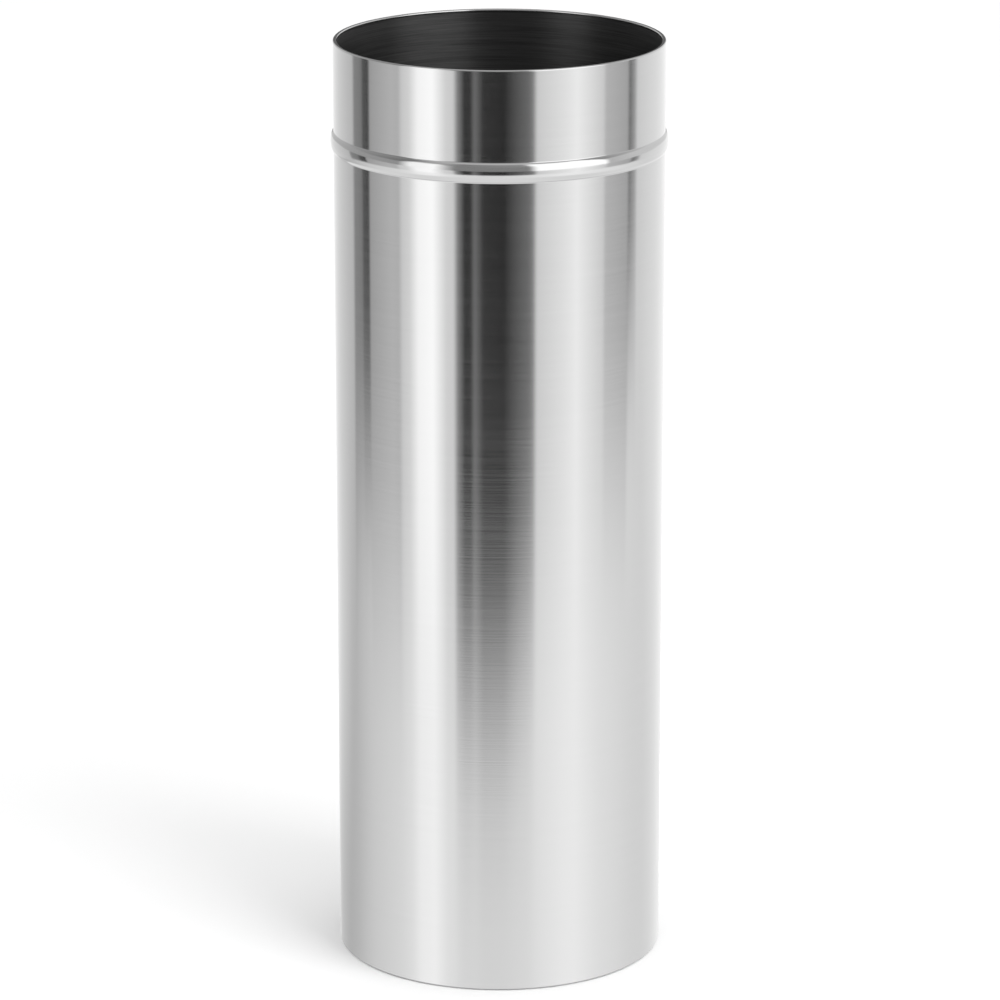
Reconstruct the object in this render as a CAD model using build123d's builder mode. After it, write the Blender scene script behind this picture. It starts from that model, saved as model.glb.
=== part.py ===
"""Umbrella stand: a brushed steel tube with a rolled bead and a hemmed lip, over a black inner sleeve.

Millimetres, +Z up. The origin is on the floor, at the centre of the stand. The stand is round, so every
ring-shaped piece is one profile, drawn in the XZ plane and revolved about Z.
"""

import os
from math import cos, radians, sin

from build123d import *

# Driving dimensions -------------------------------------------------------------------------------------

outer_diameter = 220.0  # outside of the steel tube
total_height = 628.0  # floor to the top of the lip
floor_gap = 1.2  # floor to the tube's lower edge: the feet stand this much proud

# Outer tube
shell_wall = 0.7
lip_width = 2.6  # the lip is the sheet turned inward and down, this wide over both leaves
lip_bend_radius = 0.9  # outside radius of the lip's two bends
lip_leaf = 0.6  # straight edge of the turned-down leaf, below its bend
bead_below_top = 67.0  # top of the lip to the middle of the bead
bead_width = 13.9  # over the two blends
bead_rise = 2.0  # crown above the tube
bead_blend_radius = 0.8  # outside radius of each blend from tube to bead
bead_flank_slope = 46.0  # steepest slope of the bead, where a blend meets a shoulder
bead_crown_slope = 11.0  # slope where a shoulder meets the flatter crown

# Black inner sleeve, whose upper edge hides in the lip's fold
sleeve_wall = 0.4
sleeve_gap = 0.4  # radial, sleeve to the tube's inside
sleeve_edge_gap = 0.2  # sleeve's upper edge to the start of the lip's bend
sleeve_bend_radius = 1.5  # inside radius where the wall turns into the bottom flange
sleeve_flange_land = 10.0  # middle of the screw holes to the inner edge of the bottom flange

# Pressed base pan, welded inside the tube's foot
pan_wall = 1.0
pan_bend_radius = 1.8  # inside radius between disc and skirt
pan_recess = 14.8  # floor to the underside of the pan's disc, which is also the feet's height

# Ballast plate on the sleeve's flange
ballast_thickness = 5.0
ballast_edge_gap = 2.0  # radial, plate to the end of the sleeve's bend
ballast_chamfer = 0.6

# Rubber feet, each with its own screw and washer
foot_count = 4
foot_edge_gap = 3.0  # radial, foot's top to the start of the pan's bend
foot_first_angle = 45.0
foot_top_diameter = 30.0
foot_bottom_diameter = 26.0
foot_edge_radius = 1.0
foot_recess_diameter = 11.6
screw_diameter = 5.0
screw_length = 15.0
screw_head_diameter = 9.5
screw_head_height = 2.75
screw_head_edge_radius = 1.8
screw_socket_across_flats = 3.0
screw_socket_depth = 1.7
screw_tip_chamfer = 0.5
screw_tip_gap = 0.2  # screw's tip to the top of the ballast plate
clearance_hole_diameter = 5.5
thread_clearance = 0.05  # radial, screw to the tapped hole in the ballast plate
washer_diameter = 10.0
washer_hole_diameter = 5.3
washer_thickness = 1.0

# Moulded drip tray, which lifts out through the lip
tray_wall = 2.0
tray_height = 38.0
tray_lip_clearance = 1.0  # radial, tray's rim to the inside of the steel lip
tray_draft = 4.0  # how far the wall leans outward over the tray's height
tray_corner_radius = 7.0  # outside radius between floor and wall
tray_rim_width = 3.0  # flange that stands out from the wall
tray_rim_drop = 3.5  # skirt that hangs from the flange, over the flange's own thickness
tray_skirt_wall = 1.2
grip_height = 46.0  # raised centre that fingers lift the tray by
grip_base_radius = 23.0
grip_top_radius = 14.0
grip_edge_radius = 4.0
grip_root_radius = 5.0
grip_groove_count = 3
grip_groove_radius = 1.0
grip_groove_pitch = 6.0
tray_rib_count = 12
tray_rib_width = 2.0
tray_rib_rise = 2.5
tray_rib_gap = 8.0  # radial, rib's ends to the grip's root and to the floor's corner

# Places that follow from them ---------------------------------------------------------------------------

outer_radius = outer_diameter / 2
shell_inner_radius = outer_radius - shell_wall
lip_inner_radius = outer_radius - lip_width
bead_centre = total_height - bead_below_top

sleeve_outer_radius = shell_inner_radius - sleeve_gap
sleeve_inner_radius = sleeve_outer_radius - sleeve_wall
sleeve_top = total_height - lip_bend_radius - sleeve_edge_gap

pan_outer_radius = shell_inner_radius
pan_outer_bend = pan_bend_radius + pan_wall
pan_top = pan_recess + pan_wall
ballast_bottom = pan_top + sleeve_wall
ballast_top = ballast_bottom + ballast_thickness
ballast_radius = sleeve_inner_radius - sleeve_bend_radius - ballast_edge_gap

foot_circle_radius = pan_outer_radius - pan_outer_bend - foot_edge_gap - foot_top_diameter / 2
foot_places = PolarLocations(foot_circle_radius, foot_count, start_angle=foot_first_angle)
screw_tip = ballast_top - screw_tip_gap
washer_bottom = screw_tip - screw_length
foot_recess_depth = washer_bottom + washer_thickness
sleeve_flange_radius = foot_circle_radius - sleeve_flange_land

tray_bottom = ballast_top
tray_rim_radius = lip_inner_radius - tray_lip_clearance
tray_wall_top_radius = tray_rim_radius - tray_rim_width
tray_floor_radius = tray_wall_top_radius - tray_draft
tray_floor_top = tray_bottom + tray_wall


# Outer tube ---------------------------------------------------------------------------------------------
# One sheet, drawn along its outside from the lower edge, over the bead and round the flat-topped lip. The
# bead's shoulder and crown radii are the two that give it its width and rise with tangent arcs.

flank = radians(bead_flank_slope)
turn = radians(bead_crown_slope)
arcs_width = bead_width / 2 - bead_blend_radius * sin(flank)
arcs_rise = bead_rise - bead_blend_radius * (1 - cos(flank))
share = (cos(turn) - cos(flank)) * sin(turn) - (1 - cos(turn)) * (sin(flank) - sin(turn))
bead_shoulder_radius = (arcs_rise * sin(turn) - arcs_width * (1 - cos(turn))) / share
bead_crown_radius = arcs_width * (cos(turn) - cos(flank)) - arcs_rise * (sin(flank) - sin(turn))
bead_crown_radius = bead_crown_radius / share
shoulder_turn = bead_flank_slope - bead_crown_slope

with BuildPart() as body_shell:
    with BuildSketch(Plane.XZ):
        with BuildLine():
            below = Line((outer_radius, floor_gap), (outer_radius, bead_centre - bead_width / 2))
            blend_in = JernArc(below @ 1, (0, 1), bead_blend_radius, -bead_flank_slope)
            lower = JernArc(blend_in @ 1, blend_in % 1, bead_shoulder_radius, shoulder_turn)
            crown = JernArc(lower @ 1, lower % 1, bead_crown_radius, 2 * bead_crown_slope)
            upper = JernArc(crown @ 1, crown % 1, bead_shoulder_radius, shoulder_turn)
            blend_out = JernArc(upper @ 1, upper % 1, bead_blend_radius, -bead_flank_slope)
            above = Line(blend_out @ 1, (outer_radius, total_height - lip_bend_radius))
            lip_outside = JernArc(above @ 1, (0, 1), lip_bend_radius, 90)
            lip_top = Line(lip_outside @ 1, (lip_inner_radius + lip_bend_radius, total_height))
            lip_inside = JernArc(lip_top @ 1, (-1, 0), lip_bend_radius, 90)
            Line(lip_inside @ 1, (lip_inner_radius, total_height - lip_bend_radius - lip_leaf))
            offset(amount=shell_wall, side=Side.LEFT)
        make_face()
    revolve(axis=Axis.Z)
body_shell.part.label = "body_shell"


# Inner sleeve -------------------------------------------------------------------------------------------
# A rolled wall whose foot turns inward into a flange, held between the pan and the ballast plate.

sleeve_outer_bend = sleeve_bend_radius + sleeve_wall

with BuildPart() as inner_sleeve:
    with BuildSketch(Plane.XZ):
        with BuildLine():
            flange_end = (sleeve_outer_radius - sleeve_outer_bend, pan_top)
            flange = Line((sleeve_flange_radius, pan_top), flange_end)
            bend = JernArc(flange @ 1, (1, 0), sleeve_outer_bend, 90)
            Line(bend @ 1, (sleeve_outer_radius, sleeve_top))
            offset(amount=sleeve_wall, side=Side.LEFT)
        make_face()
    revolve(axis=Axis.Z)
    with BuildSketch(Plane.XY.offset(pan_top)):
        with foot_places:
            Circle(clearance_hole_diameter / 2)
    extrude(amount=sleeve_wall, mode=Mode.SUBTRACT)
inner_sleeve.part.label = "inner_sleeve"


# Base pan -----------------------------------------------------------------------------------------------
# A disc with a skirt turned down to the tube's lower edge.

with BuildPart() as base_pan:
    with BuildSketch(Plane.XZ):
        with BuildLine():
            skirt_top = (pan_outer_radius, pan_top - pan_outer_bend)
            skirt = Line((pan_outer_radius, floor_gap), skirt_top)
            shoulder = JernArc(skirt @ 1, (0, 1), pan_outer_bend, 90)
            disc_top = Line(shoulder @ 1, (0, pan_top))
            centre = Line(disc_top @ 1, (0, pan_recess))
            disc_bottom = Line(centre @ 1, (pan_outer_radius - pan_outer_bend, pan_recess))
            inside = JernArc(disc_bottom @ 1, (1, 0), pan_bend_radius, -90)
            skirt_inside = Line(inside @ 1, (pan_outer_radius - pan_wall, floor_gap))
            Line(skirt_inside @ 1, skirt @ 0)
        make_face()
    revolve(axis=Axis.Z)
    with BuildSketch(Plane.XY.offset(pan_recess)):
        with foot_places:
            Circle(clearance_hole_diameter / 2)
    extrude(amount=pan_wall, mode=Mode.SUBTRACT)
base_pan.part.label = "base_pan"


# Ballast plate ------------------------------------------------------------------------------------------
# A round steel plate, tapped for the four foot screws.

with BuildPart() as ballast_plate:
    with BuildSketch(Plane.XY.offset(ballast_bottom)):
        Circle(ballast_radius)
        with foot_places:
            Circle(screw_diameter / 2 + thread_clearance, mode=Mode.SUBTRACT)
    extrude(amount=ballast_thickness)
    rims = ballast_plate.edges().filter_by(GeomType.CIRCLE).sort_by(SortBy.RADIUS)[-2:]
    chamfer(rims, ballast_chamfer)
ballast_plate.part.label = "ballast_plate"


# Feet ---------------------------------------------------------------------------------------------------
# A tapered rubber bumper with a recess in its sole for the screw's head and its washer.


def make_foot(place):
    """One foot, standing on the floor at a place on the foot circle."""
    sole = Plane(place)
    with BuildPart() as foot:
        with BuildSketch(sole):
            Circle(foot_bottom_diameter / 2)
        with BuildSketch(sole.offset(pan_recess)):
            Circle(foot_top_diameter / 2)
        loft()
        fillet(foot.faces().sort_by(Axis.Z)[0].edges(), foot_edge_radius)
        with BuildSketch(sole):
            Circle(foot_recess_diameter / 2)
        extrude(amount=foot_recess_depth, mode=Mode.SUBTRACT)
        with BuildSketch(sole.offset(foot_recess_depth)):
            Circle(clearance_hole_diameter / 2)
        extrude(amount=pan_recess - foot_recess_depth, mode=Mode.SUBTRACT)
    return foot.part


feet = [make_foot(place) for place in foot_places.local_locations]
for number, foot_part in enumerate(feet, 1):
    foot_part.label = f"foot_{number}"


# Foot washers -------------------------------------------------------------------------------------------

with BuildPart() as foot_washers:
    with BuildSketch(Plane.XY.offset(washer_bottom)):
        with foot_places:
            Circle(washer_diameter / 2)
            Circle(washer_hole_diameter / 2, mode=Mode.SUBTRACT)
    extrude(amount=washer_thickness)
foot_washers.part.label = "foot_washers"


# Foot screws --------------------------------------------------------------------------------------------
# Button-head screws with a hexagon socket, heads down, under the washers.

head_bottom = washer_bottom - screw_head_height

with BuildPart() as foot_screws:
    with BuildSketch(Plane.XY.offset(head_bottom)):
        with foot_places:
            Circle(screw_head_diameter / 2)
    extrude(amount=screw_head_height)
    fillet(foot_screws.edges().group_by(Axis.Z)[0], screw_head_edge_radius)
    with BuildSketch(Plane.XY.offset(washer_bottom)):
        with foot_places:
            Circle(screw_diameter / 2)
    extrude(amount=screw_length)
    chamfer(foot_screws.edges().group_by(Axis.Z)[-1], screw_tip_chamfer)
    with BuildSketch(Plane.XY.offset(head_bottom)):
        with foot_places:
            RegularPolygon(screw_socket_across_flats / 2, 6, major_radius=False)
    extrude(amount=screw_socket_depth, mode=Mode.SUBTRACT)
foot_screws.part.label = "foot_screws"


# Drip tray ----------------------------------------------------------------------------------------------
# A round dish of one wall thickness. Its wall leans out to a rim with a hanging skirt, and its middle
# rises to a hollow grip with finger grooves.

tray_rim_top = tray_bottom + tray_height
grip_top = tray_bottom + grip_height
grip_groove_start = grip_top - grip_edge_radius - grip_groove_pitch / 2
wall_lean = (tray_wall_top_radius - tray_floor_radius) / tray_height


def grip_radius_at(height):
    """Outside radius of the grip's straight side at a height above the floor."""
    share = (height - tray_floor_top) / (grip_top - tray_floor_top)
    return grip_base_radius + share * (grip_top_radius - grip_base_radius)


with BuildPart() as drip_tray:
    with BuildSketch(Plane.XZ) as tray_outside:
        with BuildLine():
            Polyline(
                (0, tray_bottom),
                (tray_floor_radius, tray_bottom),
                (tray_wall_top_radius, tray_rim_top),
                (0, tray_rim_top),
                close=True,
            )
        make_face()
        corner = tray_outside.vertices().group_by(Axis.Y)[0].sort_by(Axis.X)[-1]
        fillet(corner, tray_corner_radius)
    revolve(axis=Axis.Z)
    with BuildSketch(Plane.XZ) as tray_inside:
        with BuildLine():
            Polyline(
                (0, tray_floor_top),
                (tray_floor_radius - tray_wall + wall_lean * tray_wall, tray_floor_top),
                (tray_wall_top_radius - tray_wall, tray_rim_top),
                (0, tray_rim_top),
                close=True,
            )
        make_face()
        corner = tray_inside.vertices().group_by(Axis.Y)[0].sort_by(Axis.X)[-1]
        fillet(corner, tray_corner_radius - tray_wall)
    revolve(axis=Axis.Z, mode=Mode.SUBTRACT)
    with BuildSketch(Plane.XZ):
        with BuildLine():
            Polyline(
                (tray_wall_top_radius - tray_wall, tray_rim_top),
                (tray_rim_radius, tray_rim_top),
                (tray_rim_radius, tray_rim_top - tray_rim_drop),
                (tray_rim_radius - tray_skirt_wall, tray_rim_top - tray_rim_drop),
                (tray_rim_radius - tray_skirt_wall, tray_rim_top - tray_wall),
                (tray_wall_top_radius - tray_wall - wall_lean * tray_wall, tray_rim_top - tray_wall),
                close=True,
            )
        make_face()
    revolve(axis=Axis.Z)
    with BuildSketch(Plane.XY.offset(tray_floor_top)):
        rib_inner = grip_base_radius + tray_rib_gap
        rib_outer = tray_floor_radius - tray_corner_radius - tray_rib_gap
        with PolarLocations((rib_inner + rib_outer) / 2, tray_rib_count):
            SlotOverall(rib_outer - rib_inner, tray_rib_width)
    extrude(amount=tray_rib_rise)
    with BuildSketch(Plane.XZ) as grip_outside:
        with BuildLine():
            Polyline(
                (0, tray_bottom),
                (grip_radius_at(tray_bottom), tray_bottom),
                (grip_top_radius, grip_top),
                (0, grip_top),
                close=True,
            )
        make_face()
        shoulder_corner = grip_outside.vertices().group_by(Axis.Y)[-1].sort_by(Axis.X)[-1]
        fillet(shoulder_corner, grip_edge_radius)
        for groove in range(grip_groove_count):
            groove_height = grip_groove_start - groove * grip_groove_pitch
            with Locations((grip_radius_at(groove_height), groove_height)):
                Circle(grip_groove_radius, mode=Mode.SUBTRACT)
    revolve(axis=Axis.Z)
    root = drip_tray.edges().filter_by(GeomType.CIRCLE)
    root = root.filter_by(lambda edge: abs(edge.radius - grip_base_radius) < grip_groove_radius / 2)
    fillet(root.group_by(Axis.Z)[-1], grip_root_radius)
    with BuildSketch(Plane.XZ) as grip_inside:
        with BuildLine():
            Polyline(
                (0, tray_bottom),
                (grip_radius_at(tray_bottom) - tray_wall, tray_bottom),
                (grip_top_radius - tray_wall, grip_top - tray_wall),
                (0, grip_top - tray_wall),
                close=True,
            )
        make_face()
        shoulder_corner = grip_inside.vertices().group_by(Axis.Y)[-1].sort_by(Axis.X)[-1]
        fillet(shoulder_corner, grip_edge_radius - tray_wall)
    revolve(axis=Axis.Z, mode=Mode.SUBTRACT)
drip_tray.part.label = "drip_tray"


# Export -------------------------------------------------------------------------------------------------

pieces = [
    body_shell.part,
    inner_sleeve.part,
    base_pan.part,
    ballast_plate.part,
    *feet,
    foot_washers.part,
    foot_screws.part,
    drip_tray.part,
]

os.makedirs("parts", exist_ok=True)
for piece in pieces:
    export_step(piece, f"parts/{piece.label}.step")
    print(f"{piece.label}: {len(piece.solids())} solids, {piece.volume / 1000:.1f} cm3")
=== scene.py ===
# %% [markdown]
# # A brushed steel umbrella stand
#
# The stand is a tall round tube of stainless sheet with one rolled bead near its top and a bright
# turned-in lip. Inside it are a black sleeve, a lift-out drip tray, a ballast plate and a pressed
# pan on rubber feet.
#
# The engineering model comes in first. It is made of small flat triangles, which is enough for fits
# and weights, but polished metal shows every one of them. So the round pieces are turned again here
# with smooth walls, at the same sizes, and take the place of the plain ones.

# %% Load the frame
import math

import bpy
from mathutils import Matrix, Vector


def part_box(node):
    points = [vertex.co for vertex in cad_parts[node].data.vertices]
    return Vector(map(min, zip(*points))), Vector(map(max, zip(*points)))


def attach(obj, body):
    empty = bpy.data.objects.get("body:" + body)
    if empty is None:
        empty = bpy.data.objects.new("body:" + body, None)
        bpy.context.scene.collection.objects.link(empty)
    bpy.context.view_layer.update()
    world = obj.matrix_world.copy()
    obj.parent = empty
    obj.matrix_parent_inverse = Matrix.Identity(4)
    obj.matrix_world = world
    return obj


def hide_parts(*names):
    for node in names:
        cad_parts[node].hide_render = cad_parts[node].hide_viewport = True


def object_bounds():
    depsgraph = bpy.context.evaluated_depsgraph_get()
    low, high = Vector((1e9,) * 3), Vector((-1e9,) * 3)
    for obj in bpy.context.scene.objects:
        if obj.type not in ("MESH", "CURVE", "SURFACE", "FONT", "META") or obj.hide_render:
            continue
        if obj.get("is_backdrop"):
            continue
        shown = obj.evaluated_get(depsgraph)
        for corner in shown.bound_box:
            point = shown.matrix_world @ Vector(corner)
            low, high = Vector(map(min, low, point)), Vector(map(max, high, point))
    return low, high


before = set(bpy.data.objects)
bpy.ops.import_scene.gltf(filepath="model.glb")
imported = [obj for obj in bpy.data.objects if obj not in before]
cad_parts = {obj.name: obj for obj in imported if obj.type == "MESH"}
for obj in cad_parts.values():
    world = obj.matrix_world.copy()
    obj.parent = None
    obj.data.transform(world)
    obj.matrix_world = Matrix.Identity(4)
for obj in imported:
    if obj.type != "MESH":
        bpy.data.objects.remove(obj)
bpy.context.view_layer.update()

print("nodes:", sorted(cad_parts))

# %% [markdown]
# ## Sizes
#
# Every place below is worked out from the frame's own boxes and from a few sheet and bend sizes,
# which are the ones the stand is made to. Blender works in metres, so a millimetre gets its own
# name.

# %% Sizes
MM = 0.001

shell_low, shell_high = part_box("body_shell")
sleeve_low, sleeve_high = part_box("inner_sleeve")
pan_low, pan_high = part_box("base_pan")
tray_low, tray_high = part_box("drip_tray")

shell_wall = 0.7 * MM
sleeve_wall = 0.4 * MM
pan_wall = 1.0 * MM
tray_wall = 2.0 * MM

bead_rise = 2.0 * MM
bead_half_width = 6.95 * MM
bead_blend = 0.8 * MM
bead_flank_slope = 46
bead_crown_slope = 11
bead_middle = shell_high.z - 67 * MM

tube_radius = shell_high.x - bead_rise
lip_width = 2.6 * MM
lip_bend = 0.9 * MM
lip_leaf = 0.6 * MM

print(f"tube {2000 * tube_radius:.1f} mm across, {1000 * shell_high.z:.1f} mm high")

# %% [markdown]
# ## Turning a round piece
#
# Almost everything here is round. A metal spinner forms such a piece on a lathe from one outline,
# and Blender's Spin does the same. One vertex is drawn out along the outline, an edge at a time,
# and the finished line is spun about the axis. Stacking and scaling circles would give the same
# mesh, but then every bend would have to be set ring by ring.
#
# Smooth shading blends the slope of neighbouring faces. A tall wall beside a bend would lean in
# every reflection, all the way down, so each long straight gets a ring close to both of its ends.
# The blending then stays in the bend.

# %% Arcs and turning
ROUND_STEPS = 240
SMOOTH_ANGLE = math.radians(35)
LONG_STRAIGHT = 4 * MM
HOLD = 0.2 * MM
SAME_PLACE = MM / 200


def arc(centre, radius, start, end, steps):
    """Points along an arc in the (radius, height) plane, its angles in degrees."""
    points = []
    for step in range(steps + 1):
        angle = math.radians(start + (end - start) * step / steps)
        points.append((centre[0] + radius * math.cos(angle), centre[1] + radius * math.sin(angle)))
    return points


def hold_straights(outline):
    """Adds a point close to both ends of every long straight."""
    points = [outline[0]]
    for start, end in zip(outline, outline[1:]):
        first = Vector(start)
        last = Vector(end)
        length = (last - first).length
        if length > LONG_STRAIGHT:
            share = HOLD / length
            points += [tuple(first.lerp(last, share)), tuple(last.lerp(first, share))]
        points.append(end)
    return points


def deselect_everything():
    bpy.ops.object.select_all(action="DESELECT")


def start_point(name, place):
    """One selected vertex, in edit mode, that a line can be drawn out from."""
    deselect_everything()
    bpy.ops.mesh.primitive_plane_add(size=MM, location=place)
    piece = bpy.context.object
    piece.name = name
    bpy.ops.object.transform_apply(location=True, rotation=True, scale=True)
    bpy.ops.object.mode_set(mode="EDIT")
    bpy.ops.mesh.select_all(action="SELECT")
    bpy.ops.mesh.merge(type="CENTER")
    return piece


def turn(name, outline, axis=(0, 0), steps=ROUND_STEPS):
    """Spins an outline of (radius, height) points about an upright axis."""
    outline = hold_straights(outline)
    x, y = axis
    first_radius, first_height = outline[0]
    piece = start_point(name, (x + first_radius, y, first_height))
    for start, end in zip(outline, outline[1:]):
        step = (end[0] - start[0], 0, end[1] - start[1])
        bpy.ops.mesh.extrude_region_move(TRANSFORM_OT_translate={"value": step})
    bpy.ops.mesh.select_all(action="SELECT")
    bpy.ops.mesh.spin(steps=steps, angle=math.tau, center=(x, y, 0), axis=(0, 0, 1))
    bpy.ops.mesh.select_all(action="SELECT")
    bpy.ops.mesh.remove_doubles(threshold=SAME_PLACE)
    bpy.ops.mesh.normals_make_consistent(inside=False)
    bpy.ops.object.mode_set(mode="OBJECT")
    bpy.ops.object.shade_smooth_by_angle(angle=SMOOTH_ANGLE)
    print(name, len(piece.data.polygons), "faces")
    return piece


def apply_modifier(piece, kind, **settings):
    """Adds one modifier, sets it up and applies it."""
    deselect_everything()
    piece.select_set(True)
    bpy.context.view_layer.objects.active = piece
    modifier = piece.modifiers.new(kind.title(), kind)
    for setting, value in settings.items():
        setattr(modifier, setting, value)
    bpy.ops.object.modifier_apply(modifier=modifier.name)


def give_wall(piece, thickness):
    """Thickens an outside surface inwards into a sheet."""
    apply_modifier(piece, "SOLIDIFY", thickness=thickness, offset=-1, use_even_offset=True)
    bpy.ops.object.shade_smooth_by_angle(angle=SMOOTH_ANGLE)


def settle(piece, node, body):
    """The piece takes a node's place and rides on its body."""
    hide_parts(node)
    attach(piece, body)


# %% [markdown]
# ## The tube
#
# The outside is drawn as one line from the foot to the lip: a straight wall, the bead, more wall,
# and two tight bends that turn the sheet in and down over a flat top. The bead is nearly half an
# ellipse, so it is made of five arcs that meet tangent to tangent: a tight blend, a shoulder, a
# flatter crown, and the same back again. One round arc would be simpler, but it would mirror the
# room in a narrower line along its crown. The line is spun and then thickened, so the lip shows a
# real fold of thin sheet and not a solid ring.

# %% Tube
def bead_arc_radii():
    """The shoulder and crown radii that give the bead its width and its rise."""
    flank = math.radians(bead_flank_slope)
    slope = math.radians(bead_crown_slope)
    width = bead_half_width - bead_blend * math.sin(flank)
    rise = bead_rise - bead_blend * (1 - math.cos(flank))
    crown_drop = 1 - math.cos(slope)
    shoulder_drop = math.cos(slope) - math.cos(flank)
    shoulder_width = math.sin(flank) - math.sin(slope)
    scale = shoulder_drop * math.sin(slope) - crown_drop * shoulder_width
    shoulder = (rise * math.sin(slope) - width * crown_drop) / scale
    crown = (width * shoulder_drop - rise * shoulder_width) / scale
    return shoulder, crown


def bead_outline():
    """The bead's five arcs, from the lower blend up."""
    shoulder, crown = bead_arc_radii()
    crown_centre = tube_radius + bead_rise - crown
    in_by, up_by = arc((0, 0), crown - shoulder, 0, bead_crown_slope, 1)[1]
    lower = (crown_centre + in_by, bead_middle - up_by)
    upper = (crown_centre + in_by, bead_middle + up_by)
    lower_end = (tube_radius + bead_blend, bead_middle - bead_half_width)
    upper_end = (tube_radius + bead_blend, bead_middle + bead_half_width)
    points = arc(lower_end, bead_blend, 180, 180 - bead_flank_slope, 6)
    points += arc(lower, shoulder, -bead_flank_slope, -bead_crown_slope, 10)[1:]
    points += arc((crown_centre, bead_middle), crown, -bead_crown_slope, bead_crown_slope, 12)[1:]
    points += arc(upper, shoulder, bead_crown_slope, bead_flank_slope, 10)[1:]
    points += arc(upper_end, bead_blend, 180 + bead_flank_slope, 180, 6)[1:]
    return points


shell_outline = [(tube_radius, shell_low.z)]
shell_outline += bead_outline()
lip_inside = tube_radius - lip_width
bend_height = shell_high.z - lip_bend
shell_outline += arc((tube_radius - lip_bend, bend_height), lip_bend, 0, 90, 8)
shell_outline += arc((lip_inside + lip_bend, bend_height), lip_bend, 90, 180, 8)
shell_outline += [(lip_inside, bend_height - lip_leaf)]

tube = turn("steel_tube", shell_outline)
give_wall(tube, shell_wall)
settle(tube, "body_shell", "stand")

# %% [markdown]
# ## Drilling
#
# The sleeve and the pan are both held by the four foot screws, so both have four holes. Each hole
# is cut by a cylinder with a Boolean, which keeps the flat sheet tidy around it. The holes' places
# are read from the feet, so they stay in line.

# %% Screw holes
feet = ["foot_1", "foot_2", "foot_3", "foot_4"]
clearance_hole = 5.5 * MM
hole_sides = 32


def foot_centre(node):
    low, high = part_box(node)
    return (low.x + high.x) / 2, (low.y + high.y) / 2


def drill(piece, low, high, diameter):
    """Cuts a hole through a piece at each foot, from one height to another."""
    for node in feet:
        x, y = foot_centre(node)
        deselect_everything()
        bpy.ops.mesh.primitive_cylinder_add(
            vertices=hole_sides,
            radius=diameter / 2,
            depth=high - low,
            location=(x, y, (low + high) / 2),
        )
        drill_bit = bpy.context.object
        apply_modifier(piece, "BOOLEAN", object=drill_bit, operation="DIFFERENCE", solver="EXACT")
        bpy.data.objects.remove(drill_bit)


# %% [markdown]
# ## The sleeve
#
# The sleeve is a black sheet that lines the tube. Its foot turns in to a flange, which the ballast
# plate clamps, and its upper edge hides in the fold of the lip.

# %% Sleeve
sleeve_inner_bend = 1.5 * MM
flange_past_screws = 10 * MM

sleeve_bend = sleeve_inner_bend + sleeve_wall
sleeve_radius = sleeve_high.x
sleeve_flange = math.hypot(*foot_centre("foot_1")) - flange_past_screws

sleeve_outline = [(sleeve_flange, sleeve_low.z)]
sleeve_bend_centre = (sleeve_radius - sleeve_bend, sleeve_low.z + sleeve_bend)
sleeve_outline += arc(sleeve_bend_centre, sleeve_bend, -90, 0, 8)
sleeve_outline += [(sleeve_radius, sleeve_high.z)]

sleeve = turn("black_sleeve", sleeve_outline)
give_wall(sleeve, sleeve_wall)
drill(sleeve, sleeve_low.z - MM, sleeve_low.z + MM, clearance_hole)
bpy.ops.object.shade_smooth_by_angle(angle=SMOOTH_ANGLE)
settle(sleeve, "inner_sleeve", "stand")

# %% [markdown]
# ## The pan
#
# The pan is a pressing: a flat disc whose edge is drawn down into a skirt. It closes the tube's
# foot, and its skirt is welded to the tube.

# %% Pan
pan_inner_bend = 1.8 * MM
pan_middle_ring = 30 * MM

pan_bend = pan_inner_bend + pan_wall
pan_outline = [(0, pan_high.z), (pan_middle_ring, pan_high.z)]
pan_outline += arc((pan_high.x - pan_bend, pan_high.z - pan_bend), pan_bend, 90, 0, 10)
pan_outline += [(pan_high.x, pan_low.z)]

pan = turn("pressed_pan", pan_outline)
give_wall(pan, pan_wall)
drill(pan, pan_high.z - pan_wall - MM, pan_high.z + MM, clearance_hole)
bpy.ops.object.shade_smooth_by_angle(angle=SMOOTH_ANGLE)
settle(pan, "base_pan", "stand")

# %% [markdown]
# ## The feet
#
# Each foot is a tapered rubber bumper. Its sole has a rounded edge and a recess that takes the
# screw's head and washer, and a moulded foot has a small ring left by its mould's insert around
# that recess. The four are turned one by one, each about its own screw.

# %% Feet
foot_sole_radius = 13 * MM
foot_edge = 1 * MM
foot_recess_radius = 5.8 * MM
foot_recess_depth = 7 * MM
foot_ring_groove = 0.3 * MM
foot_steps = 72


def foot_outline(low, high):
    """One foot in section: the hole at its top, round the outside, and back up the recess."""
    top = high.z
    top_radius = (high.x - low.x) / 2
    hole = clearance_hole / 2
    ring = (foot_sole_radius + foot_recess_radius) / 2
    points = [(hole, top), (top_radius - foot_ring_groove, top)]
    points += [(top_radius - foot_ring_groove / 10, top - foot_ring_groove)]
    points += arc((foot_sole_radius - foot_edge, foot_edge), foot_edge, 0, -90, 6)
    points += [(ring + foot_ring_groove, 0), (ring, foot_ring_groove), (ring - foot_ring_groove, 0)]
    points += [(foot_recess_radius + foot_ring_groove, 0), (foot_recess_radius, foot_ring_groove)]
    points += [(foot_recess_radius, foot_recess_depth), (hole, foot_recess_depth), (hole, top)]
    return points


for node in feet:
    low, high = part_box(node)
    foot = turn("rubber_" + node, foot_outline(low, high), foot_centre(node), foot_steps)
    settle(foot, node, "stand")

# %% [markdown]
# ## The drip tray
#
# The tray is moulded in one wall thickness, so its outline goes all the way round a thin section:
# over the grip, down into the dish, up the leaning wall, over the rim and its hanging skirt, and
# back underneath. Rounding every corner by the same small helper keeps it looking moulded and not
# machined.

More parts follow.
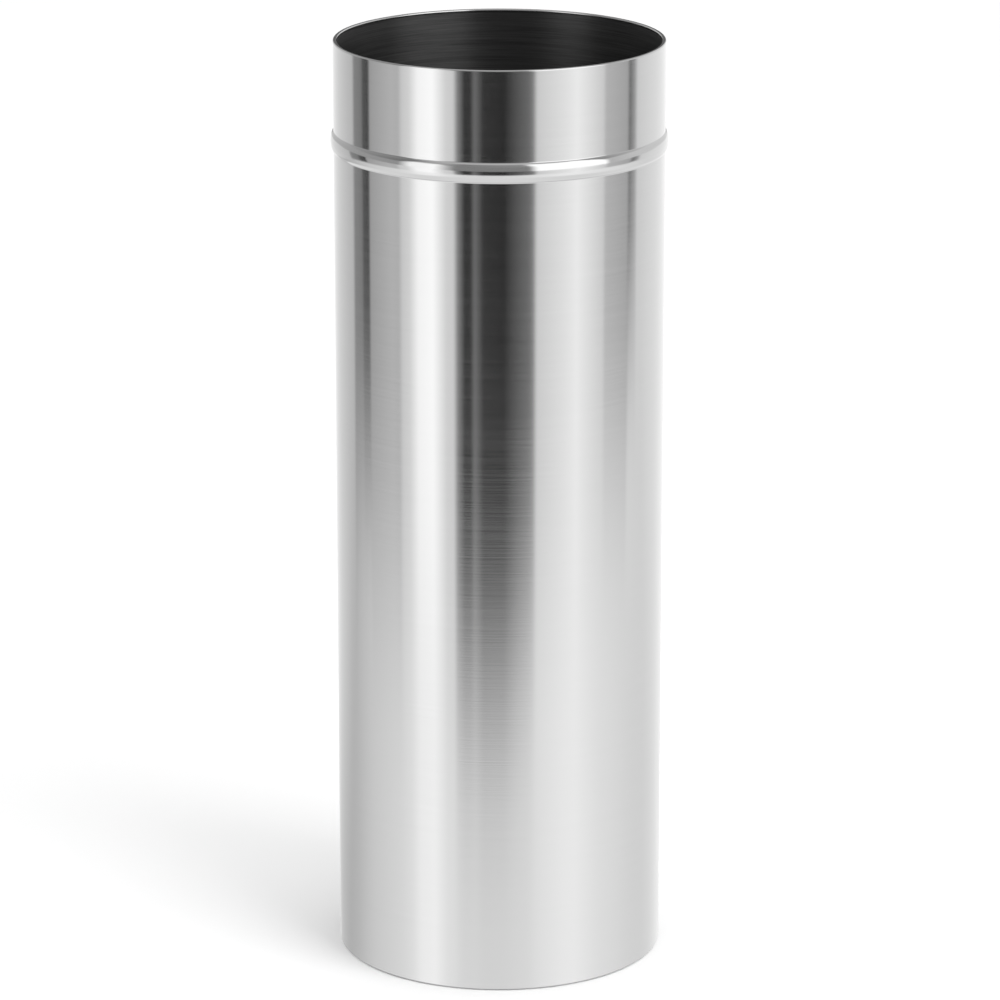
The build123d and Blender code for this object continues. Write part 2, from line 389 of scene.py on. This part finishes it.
# %% Tray outline
CORNER_STEPS = 4
MOST_OF_A_SIDE = 0.45


def rounded(corners, radius):
    """A closed outline's corners, each cut back and joined by a small curve."""
    points = []
    count = len(corners)
    for index, corner in enumerate(corners):
        here = Vector(corner)
        before = Vector(corners[index - 1]) - here
        after = Vector(corners[(index + 1) % count]) - here
        size = min(radius[index], before.length * MOST_OF_A_SIDE, after.length * MOST_OF_A_SIDE)
        if size <= 0:
            points.append(tuple(here))
            continue
        start = here + before.normalized() * size
        end = here + after.normalized() * size
        for step in range(CORNER_STEPS + 1):
            share = step / CORNER_STEPS
            bend = start * (1 - share) ** 2 + here * (2 * share * (1 - share)) + end * share**2
            points.append(tuple(bend))
    return points


grip_top = tray_high.z
grip_top_radius = 14 * MM
grip_foot_radius = 23 * MM
groove_count = 3
groove_depth = 0.9 * MM
groove_pitch = 6 * MM
first_groove_drop = 7 * MM
tray_steps = 192

dish_height = 38 * MM
rim_overhang = 3 * MM
wall_lean = 4 * MM
skirt_drop = 3.5 * MM
skirt_wall = 1.2 * MM

dish_top = tray_low.z + dish_height
floor_top = tray_low.z + tray_wall
rim_radius = tray_high.x
wall_top = rim_radius - rim_overhang
wall_foot = wall_top - wall_lean
skirt_low = dish_top - skirt_drop


def grip_radius(height):
    """Outside of the grip's leaning side."""
    share = (height - floor_top) / (grip_top - floor_top)
    return grip_foot_radius + share * (grip_top_radius - grip_foot_radius)


tray_corners = [((0, grip_top), 0), ((grip_top_radius, grip_top), 4 * MM)]
for groove in range(groove_count):
    middle = grip_top - first_groove_drop - groove * groove_pitch
    for height, depth in ((middle + MM, 0), (middle, groove_depth), (middle - MM, 0)):
        tray_corners.append(((grip_radius(height) - depth, height), 0.4 * MM))
tray_corners += [
    ((grip_foot_radius, floor_top), 5 * MM),
    ((wall_foot - tray_wall, floor_top), 5 * MM),
    ((wall_top - tray_wall, dish_top), 0.5 * MM),
    ((rim_radius, dish_top), 0.9 * MM),
    ((rim_radius, skirt_low), 0.4 * MM),
    ((rim_radius - skirt_wall, skirt_low), 0.4 * MM),
    ((rim_radius - skirt_wall, dish_top - tray_wall), 0.4 * MM),
    ((wall_top, dish_top - tray_wall), 0.4 * MM),
    ((wall_foot, tray_low.z), 7 * MM),
    ((grip_foot_radius - tray_wall, tray_low.z), 1 * MM),
    ((grip_top_radius - tray_wall, grip_top - tray_wall), 2 * MM),
    ((0, grip_top - tray_wall), 0),
]
corner_places = [place for place, radius in tray_corners]
corner_radii = [radius for place, radius in tray_corners]
tray = turn("moulded_tray", rounded(corner_places, corner_radii), steps=tray_steps)

# %% [markdown]
# Twelve low ribs keep umbrella tips out of the water. One rib starts as a cube, is stretched to a
# bar and has its upright edges and its top rounded with Bevel. The rest are copies turned about the
# tray's middle, and all are joined to the tray, because they are moulded with it.

# %% Tray ribs
rib_count = 12
rib_past_grip = 8 * MM
rib_short_of_wall = 15 * MM
rib_edge = 0.7 * MM
rib_inner = grip_foot_radius + rib_past_grip
rib_outer = wall_foot - rib_short_of_wall
rib_width = 2 * MM
rib_rise = 2.5 * MM
rib_bury = 0.5 * MM


def make_rib():
    deselect_everything()
    middle = ((rib_inner + rib_outer) / 2, 0, floor_top + (rib_rise - rib_bury) / 2)
    bpy.ops.mesh.primitive_cube_add(size=1, location=middle)
    bar = bpy.context.object
    bar.scale = (rib_outer - rib_inner, rib_width, rib_rise + rib_bury)
    bpy.ops.object.transform_apply(location=True, rotation=True, scale=True)
    bpy.ops.object.mode_set(mode="EDIT")
    bpy.ops.mesh.select_all(action="SELECT")
    bpy.ops.mesh.bevel(offset=rib_edge, segments=4, affect="EDGES")
    bpy.ops.object.mode_set(mode="OBJECT")
    bpy.ops.object.shade_smooth_by_angle(angle=math.radians(60))
    return bar


ribs = [make_rib()]
for number in range(1, rib_count):
    deselect_everything()
    ribs[0].select_set(True)
    bpy.context.view_layer.objects.active = ribs[0]
    bpy.ops.object.duplicate()
    copy = bpy.context.object
    copy.rotation_euler.z = math.tau * number / rib_count
    bpy.ops.object.transform_apply(location=True, rotation=True, scale=True)
    ribs.append(copy)

deselect_everything()
for rib in ribs:
    rib.select_set(True)
tray.select_set(True)
bpy.context.view_layer.objects.active = tray
bpy.ops.object.join()
settle(tray, "drip_tray", "tray")
print("tray", len(tray.data.polygons), "faces")

# %% [markdown]
# ## Writing shader maths
#
# A finish is mostly arithmetic on noise and position. Placing a node by hand for each plus and
# times hides the sum, so a small class lets a socket be used like a number, and one method makes
# every other node.

# %% Shader helpers
class Socket:
    """A node's output that Python's operators can be used on."""

    def __init__(self, finish, output):
        self.finish = finish
        self.output = output

    def maths(self, operation, *inputs):
        settings = {"operation": operation}
        return self.finish.node("ShaderNodeMath", settings, dict(enumerate(inputs)))

    def __add__(self, other):
        return self.maths("ADD", self, other)

    def __sub__(self, other):
        return self.maths("SUBTRACT", self, other)

    def __rsub__(self, other):
        return self.maths("SUBTRACT", other, self)

    def __mul__(self, other):
        return self.maths("MULTIPLY", self, other)

    def __truediv__(self, other):
        return self.maths("DIVIDE", self, other)

    def clamped(self):
        return self.finish.node("ShaderNodeClamp", {}, {"Value": self})

    __radd__ = __add__
    __rmul__ = __mul__


class Finish:
    """A material with its Principled shader, and the nodes that feed it."""

    def __init__(self, name):
        self.material = bpy.data.materials.new(name)
        self.material.use_nodes = True
        self.tree = self.material.node_tree
        self.shader = self.tree.nodes["Principled BSDF"]
        self.place = self.node("ShaderNodeTexCoord", {}, {}, "Object")

    def node(self, kind, settings, inputs, output=0):
        """Makes a node, sets it up, fills its inputs and returns one of its outputs."""
        node = self.tree.nodes.new(kind)
        for setting, value in settings.items():
            setattr(node, setting, value)
        for name, value in inputs.items():
            self.feed(node.inputs[name], value)
        return Socket(self, node.outputs[output])

    def feed(self, socket, value):
        if isinstance(value, Socket):
            self.tree.links.new(value.output, socket)
        else:
            socket.default_value = value

    def surface(self, **inputs):
        """Fills the shader's own sockets, with spaces written as underscores."""
        for name, value in inputs.items():
            self.feed(self.shader.inputs[name.replace("_", " ")], value)

    def along(self, axis):
        """The piece's own X, Y or Z."""
        return self.node("ShaderNodeSeparateXYZ", {}, {"Vector": self.place}, axis)

    def noise(self, scale, detail, roughness=0.5, stretch=(1, 1, 1)):
        """Noise between 0 and 1 on the piece's own coordinates, stretched along its axes."""
        place = self.node("ShaderNodeMapping", {}, {"Vector": self.place, "Scale": stretch})
        inputs = {"Vector": place, "Scale": scale, "Detail": detail, "Roughness": roughness}
        return self.node("ShaderNodeTexNoise", {}, inputs, "Fac")

    def mix(self, amount, first, second):
        """Blends two colours."""
        settings = {"data_type": "RGBA"}
        return self.node("ShaderNodeMix", settings, {0: amount, 6: first, 7: second}, 2)

    def bump(self, height, distance, strength):
        inputs = {"Height": height, "Distance": distance, "Strength": strength}
        return self.node("ShaderNodeBump", {}, inputs)

    def cover(self, *pieces):
        """Puts this finish, and no other, on each piece."""
        for piece in pieces:
            piece.data.materials.clear()
            piece.data.materials.append(self.material)


def grey(value):
    return (value, value, value, 1)


# %% [markdown]
# ## Brushed stainless steel
#
# A belt or wheel runs around the tube and leaves fine scratches that all lie level. They hardly
# blur a reflection sideways but smear it up and down, which is why such a tube shows crisp upright
# bands. The shader's anisotropy does that at any distance. Its grain follows the tube's
# circumference by default, so a quarter turn makes the smear upright. Noise squeezed hard along Z
# adds the scratches that can be seen: three widths of line, each broken up around the tube. A
# scratch also scatters a little light, so its metallic share drops slightly, which lifts the lines
# a little where the tube mirrors black.

# %% Brushed steel
def brushed_steel(name, tone, polish, smear):
    """Steel with level brush lines. polish is its roughness and smear its anisotropy."""
    steel = Finish(name)
    fine = steel.noise(1, 3, 0.6, (16, 16, 2600))
    broad = steel.noise(1, 2, 0.5, (9, 9, 1100))
    lines = steel.noise(1, 2, 0.6, (5, 5, 760))
    cloud = steel.noise(9, 2, 0.5)
    scratches = fine * 0.4 + broad * 0.35 + lines * 0.25
    depth = (scratches * 2.4 - 0.7).clamped()
    scatter = depth * 0.024
    steel.surface(
        Base_Color=steel.mix(depth, grey(tone * 0.975), grey(tone * 1.015)),
        Metallic=1 - scatter,
        Roughness=polish + (scratches - 0.5) * 0.13 + (cloud - 0.5) * 0.02,
        Anisotropic=smear,
        Anisotropic_Rotation=0.25,
        Normal=steel.bump(scratches, 0.02 * MM, 0.35),
    )
    return steel


brushed_steel("brushed stainless", tone=0.57, polish=0.09, smear=0.4).cover(tube)

# %% [markdown]
# ## Black sleeve
#
# The sleeve's sheet is brushed before it gets its thin black coat, and the coat still shows the
# lines. So it is shaded as a very dark metal with the same upright smear as the tube, only wider.
# Most of the inside stays nearly black, and soft patches of light show on it, crossed by level
# marks.

# %% Sleeve paint
def black_over_brushed(name):
    paint = Finish(name)
    fine = paint.noise(1, 3, 0.65, (22, 22, 1900))
    broad = paint.noise(1, 2, 0.5, (9, 9, 300))
    marks = fine * 0.7 + broad * 0.3
    paint.surface(
        Base_Color=paint.mix((marks * 2.4 - 0.7).clamped(), grey(0.06), grey(0.15)),
        Metallic=1.0,
        Roughness=0.44 + (marks - 0.5) * 0.2,
        Anisotropic=0.85,
        Anisotropic_Rotation=0.25,
        Normal=paint.bump(marks, 0.05 * MM, 0.6),
    )
    return paint


black_over_brushed("satin black over brushed sheet").cover(sleeve)

# %% [markdown]
# ## Plated, milled and zinc-plated steel
#
# The parts nobody sees in use get workshop finishes. The pan is zinc-plated, which shows as cloudy
# patches a few millimetres wide. The ballast plate keeps its dark rolled skin with paler rub marks.
# The fixings are bright zinc with a faint haze.

# %% Hidden metals
def clouded_metal(name, dark, light, patch, roughness, grain):
    """Metal whose colour and shine drift in patches about patch metres wide."""
    metal = Finish(name)
    patches = metal.noise(1 / patch, 4, 0.6)
    specks = metal.noise(6 / patch, 3, 0.6)
    amount = (patches * 2.4 - 0.7).clamped()
    metal.surface(
        Base_Color=metal.mix(amount, grey(dark), grey(light)),
        Metallic=1.0,
        Roughness=roughness + (specks - 0.5) * 0.25 - (amount - 0.5) * 0.08,
        Normal=metal.bump(specks, grain, 0.5),
    )
    return metal


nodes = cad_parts
clouded_metal("zinc-plated pressing", 0.38, 0.55, 8 * MM, 0.38, 0.02 * MM).cover(pan)
clouded_metal("rolled plate", 0.07, 0.16, 22 * MM, 0.52, 0.06 * MM).cover(nodes["ballast_plate"])
clouded_metal("bright zinc", 0.58, 0.72, 3 * MM, 0.26, 0.005 * MM).cover(
    nodes["foot_screws"], nodes["foot_washers"]
)

# %% [markdown]
# ## Rubber and moulded plastic
#
# Both are black and matt, and both need a surface to catch light. Rubber has a soft pitted skin
# with dust in it, and the tray has the fine, even spark texture of its steel mould.

# %% Rubber and plastic
def black_moulding(name, dark, light, grain, depth, roughness):
    """A black moulded material with a grain about grain metres wide."""
    moulding = Finish(name)
    texture = moulding.noise(1 / grain, 3, 0.6)
    dust = moulding.noise(1 / (40 * grain), 3, 0.6)
    moulding.surface(
        Base_Color=moulding.mix((dust * 2.2 - 0.6).clamped(), grey(dark), grey(light)),
        Roughness=roughness + (texture - 0.5) * 0.2,
        Normal=moulding.bump(texture, depth, 0.7),
    )
    return moulding


rubber_feet = [bpy.data.objects["rubber_" + node] for node in feet]
black_moulding("moulded rubber", 0.02, 0.045, 0.5 * MM, 0.05 * MM, 0.7).cover(*rubber_feet)
black_moulding("spark-textured plastic", 0.025, 0.04, 0.35 * MM, 0.03 * MM, 0.5).cover(tray)

# %% [markdown]
# ## Floor and room light
#
# Polished metal shows its surroundings, so the set is as much a part of the look as the steel. The
# floor is a wide white sheet under an even white sky, and one large soft lamp on the right throws a
# faint shadow to the left.

# %% Floor, sky and lamp
floor_size = 24
sky_strength = 1.12
lamp_place = (2.0, -1.9, 2.5)
lamp_aim = (0, 0, 0.1)
lamp_size = 2.2
lamp_power = 68

scene = bpy.context.scene
scene.view_settings.view_transform = "Standard"

deselect_everything()
bpy.ops.mesh.primitive_plane_add(size=floor_size)
floor = bpy.context.object
floor.name = "floor"
paper = Finish("white floor")
paper.surface(
    Base_Color=paper.mix(paper.noise(3, 2), grey(0.86), grey(0.88)),
    Roughness=0.9,
    Specular_IOR_Level=0.1,
)
paper.cover(floor)
floor.visible_glossy = False
floor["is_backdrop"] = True

world = bpy.data.worlds.new("white room")
world.use_nodes = True
world.node_tree.nodes["Background"].inputs["Color"].default_value = grey(1)
world.node_tree.nodes["Background"].inputs["Strength"].default_value = sky_strength
scene.world = world


def lamp(name, place, target, size, power):
    """A large square lamp that lights the scene but isn't mirrored in the steel."""
    deselect_everything()
    bpy.ops.object.light_add(type="AREA", location=place)
    light = bpy.context.object
    light.name = name
    light.data.shape = "SQUARE"
    light.data.size = size
    light.data.energy = power
    light.rotation_euler = (Vector(target) - Vector(place)).to_track_quat("-Z", "Y").to_euler()
    light.visible_glossy = False


lamp("key lamp", lamp_place, lamp_aim, lamp_size, lamp_power)

# %% [markdown]
# ## Reflection cards
#
# A studio stands black, grey and white cards around a steel object to draw its bands. Seen from
# above, an upright wall mirrors what lies below the horizon, so these cards hang far off and mostly
# lower than the stand. Each row below is one edge between two cards: its bearing, in degrees to the
# right from the camera's side, the glow there, the glow of the card's foot there, and the slope at
# which the one fades into the other. A card's glow runs evenly from edge to edge, so edges set
# close together make a crisp band and edges far apart a soft one. The bands fade towards the tube's
# foot, where the steel mirrors the cards' feet. The cards show in reflections alone: they cast no
# shadow, and the camera looks through them. The floor isn't mirrored, or it would hide them.

# %% Cards
card_distance = 60
card_middle = 0.3
card_step = 3
low_card_slopes = (27, 4)
high_card_slopes = (4, -55)
low_card_fade = 2.1
high_card_fade = 8

# bearing, glow, foot's glow, slope down to the middle of the fade
low_edges = [
    (-180, 1.08, 0.95, 18),
    (-160, 1.00, 0.72, 19),
    (-136, 0.86, 0.68, 19),
    (-123, 0.76, 0.77, 17),
    (-120, 0.37, 0.80, 15.5),
    (-111, 0.30, 0.90, 15.3),
    (-109, 0.14, 0.92, 15.3),
    (-103, 0.09, 0.98, 15.3),
    (-101, 0.55, 1.00, 16.3),
    (-80, 0.74, 1.13, 16.8),
    (-74, 0.72, 1.17, 17),
    (-71, 0.98, 1.20, 17),
    (-65, 1.10, 1.27, 17),
    (-58, 1.58, 1.45, 17),
    (-47, 1.70, 1.51, 17),
    (-37, 1.09, 1.30, 18),
    (-32, 1.04, 1.27, 18),
    (-29, 0.36, 1.22, 18),
    (-24, 0.04, 1.18, 18),
    (-20, 0.04, 1.18, 18),
    (-17, 0.24, 1.18, 18),
    (-11, 0.04, 1.15, 18.2),
    (3, 0.02, 1.16, 18.1),
    (20, 0.22, 1.21, 17.2),
    (23, 0.34, 1.24, 17),
    (26, 1.02, 1.28, 17),
    (45, 1.28, 1.41, 17),
    (55, 1.45, 1.44, 17),
    (76, 1.02, 1.27, 15.6),
    (79, 0.75, 1.26, 15.4),
    (99, 0.60, 1.16, 15.2),
    (102, 0.22, 1.14, 13.6),
    (107, 0.50, 1.12, 13.6),
    (111, 1.00, 1.10, 14.5),
    (125, 1.08, 1.06, 17),
    (155, 1.16, 1.12, 17),
    (180, 1.08, 0.95, 18),
]


def bearing(degrees, distance):
    angle = math.radians(degrees)
    return Vector((math.sin(angle) * distance, -math.cos(angle) * distance, 0))


def drop(slope):
    """Height at which a ray that leaves the stand at this slope down reaches the cards."""
    return card_middle - card_distance * math.tan(math.radians(slope))


def glowing_card(name, first, second, fade):
    """A black surface that glows from one edge's glow to the next one's, above and below a fade."""
    start, glow, foot, slope = first
    end, next_glow, next_foot, next_slope = second
    finish = Finish(name)
    angle = finish.along("X").maths("ARCTAN2", finish.along("X"), finish.along("Y") * -1)
    share = (angle - math.radians(start)) / math.radians(end - start)
    middle = share * (drop(next_slope) - drop(slope)) + drop(slope)
    reach = (drop(slope - fade) - drop(slope + fade)) / 2
    limits = {"From Min": -reach, "From Max": reach, "To Min": 0.0, "To Max": 1.0}
    above = finish.node(
        "ShaderNodeMapRange",
        {"interpolation_type": "SMOOTHSTEP"},
        {"Value": finish.along("Z") - middle, **limits},
    )
    upper = finish.mix(share, grey(glow), grey(next_glow))
    lower = finish.mix(share, grey(foot), grey(next_foot))
    finish.surface(
        Base_Color=grey(0),
        Specular_IOR_Level=0.0,
        Emission_Color=finish.mix(above, lower, upper),
        Emission_Strength=1.0,
    )
    return finish


def show_in_reflections_only(sheet, finish):
    """Covers a sheet, and hides it from all but mirrored light."""
    finish.cover(sheet)
    sheet.visible_camera = False
    sheet.visible_diffuse = False
    sheet.visible_shadow = False
    sheet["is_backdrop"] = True


def stand_card(name, start, end, low, high):
    """One curved upright sheet, drawn out from an edge and spun about the stand's axis."""
    sheet = start_point(name, bearing(start, card_distance) + Vector((0, 0, low)))
    bpy.ops.mesh.extrude_region_move(TRANSFORM_OT_translate={"value": (0, 0, high - low)})
    bpy.ops.mesh.select_all(action="SELECT")
    span = math.radians(end - start)
    steps = max(2, (end - start) // card_step)
    bpy.ops.mesh.spin(steps=steps, angle=span, center=(0, 0, 0), axis=(0, 0, -1))
    bpy.ops.object.mode_set(mode="OBJECT")
    return sheet


def stand_ring(name, edges, slopes, fade):
    """A card between every two neighbouring edges, from the first slope up to the second."""
    low, high = (drop(slope) for slope in slopes)
    for first, second in zip(edges, edges[1:]):
        sheet = stand_card(f"{name}_{first[0]}", first[0], second[0], low, high)
        show_in_reflections_only(sheet, glowing_card(f"{name} {first[0]}", first, second, fade))
    print(name, len(edges) - 1, "cards")


stand_ring("low_card", low_edges, low_card_slopes, low_card_fade)

# %% [markdown]
# Only the bead and the lip's bends look up. What they mirror is a second ring on top of the first:
# a bright wall on the right, a paler one on the left, dim sheets between them, and darkness behind
# the stand.

# %% High cards
# bearing, glow high up, glow low down, slope down to the middle of the fade
# (a negative slope is above the horizon)
high_edges = [
    (-180, 0.40, 0.15, -32),
    (-170, 0.40, 0.20, -32),
    (-162, 0.50, 0.75, -32),
    (-110, 0.40, 0.50, -20),
    (-72, 0.25, 0.45, -12),
    (-63, 0.60, 1.50, -30),
    (-45, 0.60, 1.70, -30),
    (-36, 0.45, 0.80, -20),
    (-30, 0.33, 0.33, -20),
    (20, 0.40, 0.33, -20),
    (26, 1.80, 1.80, -20),
    (76, 1.80, 1.80, -20),
    (80, 0.37, 0.75, -26),
    (110, 0.60, 0.90, -30),
    (162, 0.60, 0.95, -32),
    (170, 0.50, 0.20, -32),
    (180, 0.40, 0.15, -32),
]
stand_ring("high_card", high_edges, high_card_slopes, high_card_fade)

# %% [markdown]
# A mid-grey ceiling closes the room, for the bead's upper side and the flat of the lip.

# %% Ceiling card
ceiling_glow = 0.7
deselect_everything()
ceiling_height = drop(high_card_slopes[1])
bpy.ops.mesh.primitive_circle_add(
    vertices=64, radius=card_distance, fill_type="NGON", location=(0, 0, ceiling_height)
)
ceiling = bpy.context.object
ceiling.name = "ceiling_card"
ceiling_finish = Finish("ceiling")
ceiling_finish.surface(
    Base_Color=grey(0),
    Specular_IOR_Level=0.0,
    Emission_Color=grey(1),
    Emission_Strength=ceiling_glow,
)
show_in_reflections_only(ceiling, ceiling_finish)

# %% [markdown]
# ## Camera
#
# A long lens from well back keeps the tube's sides nearly parallel. It looks down at about 16
# degrees, which opens the rim to a shallow ellipse.

# %% Camera
camera_distance = 3.269
camera_height = 1.246
camera_pitch = 15.95
camera_lens = 181.0
camera_shift = 0.00057

bpy.ops.object.camera_add(location=(0, -camera_distance, camera_height))
camera = bpy.context.object
camera.rotation_euler = (math.radians(90 - camera_pitch), 0, 0)
camera.data.lens = camera_lens
camera.data.shift_x = camera_shift
scene.camera = camera

# %% The scene's bounds
low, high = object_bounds()
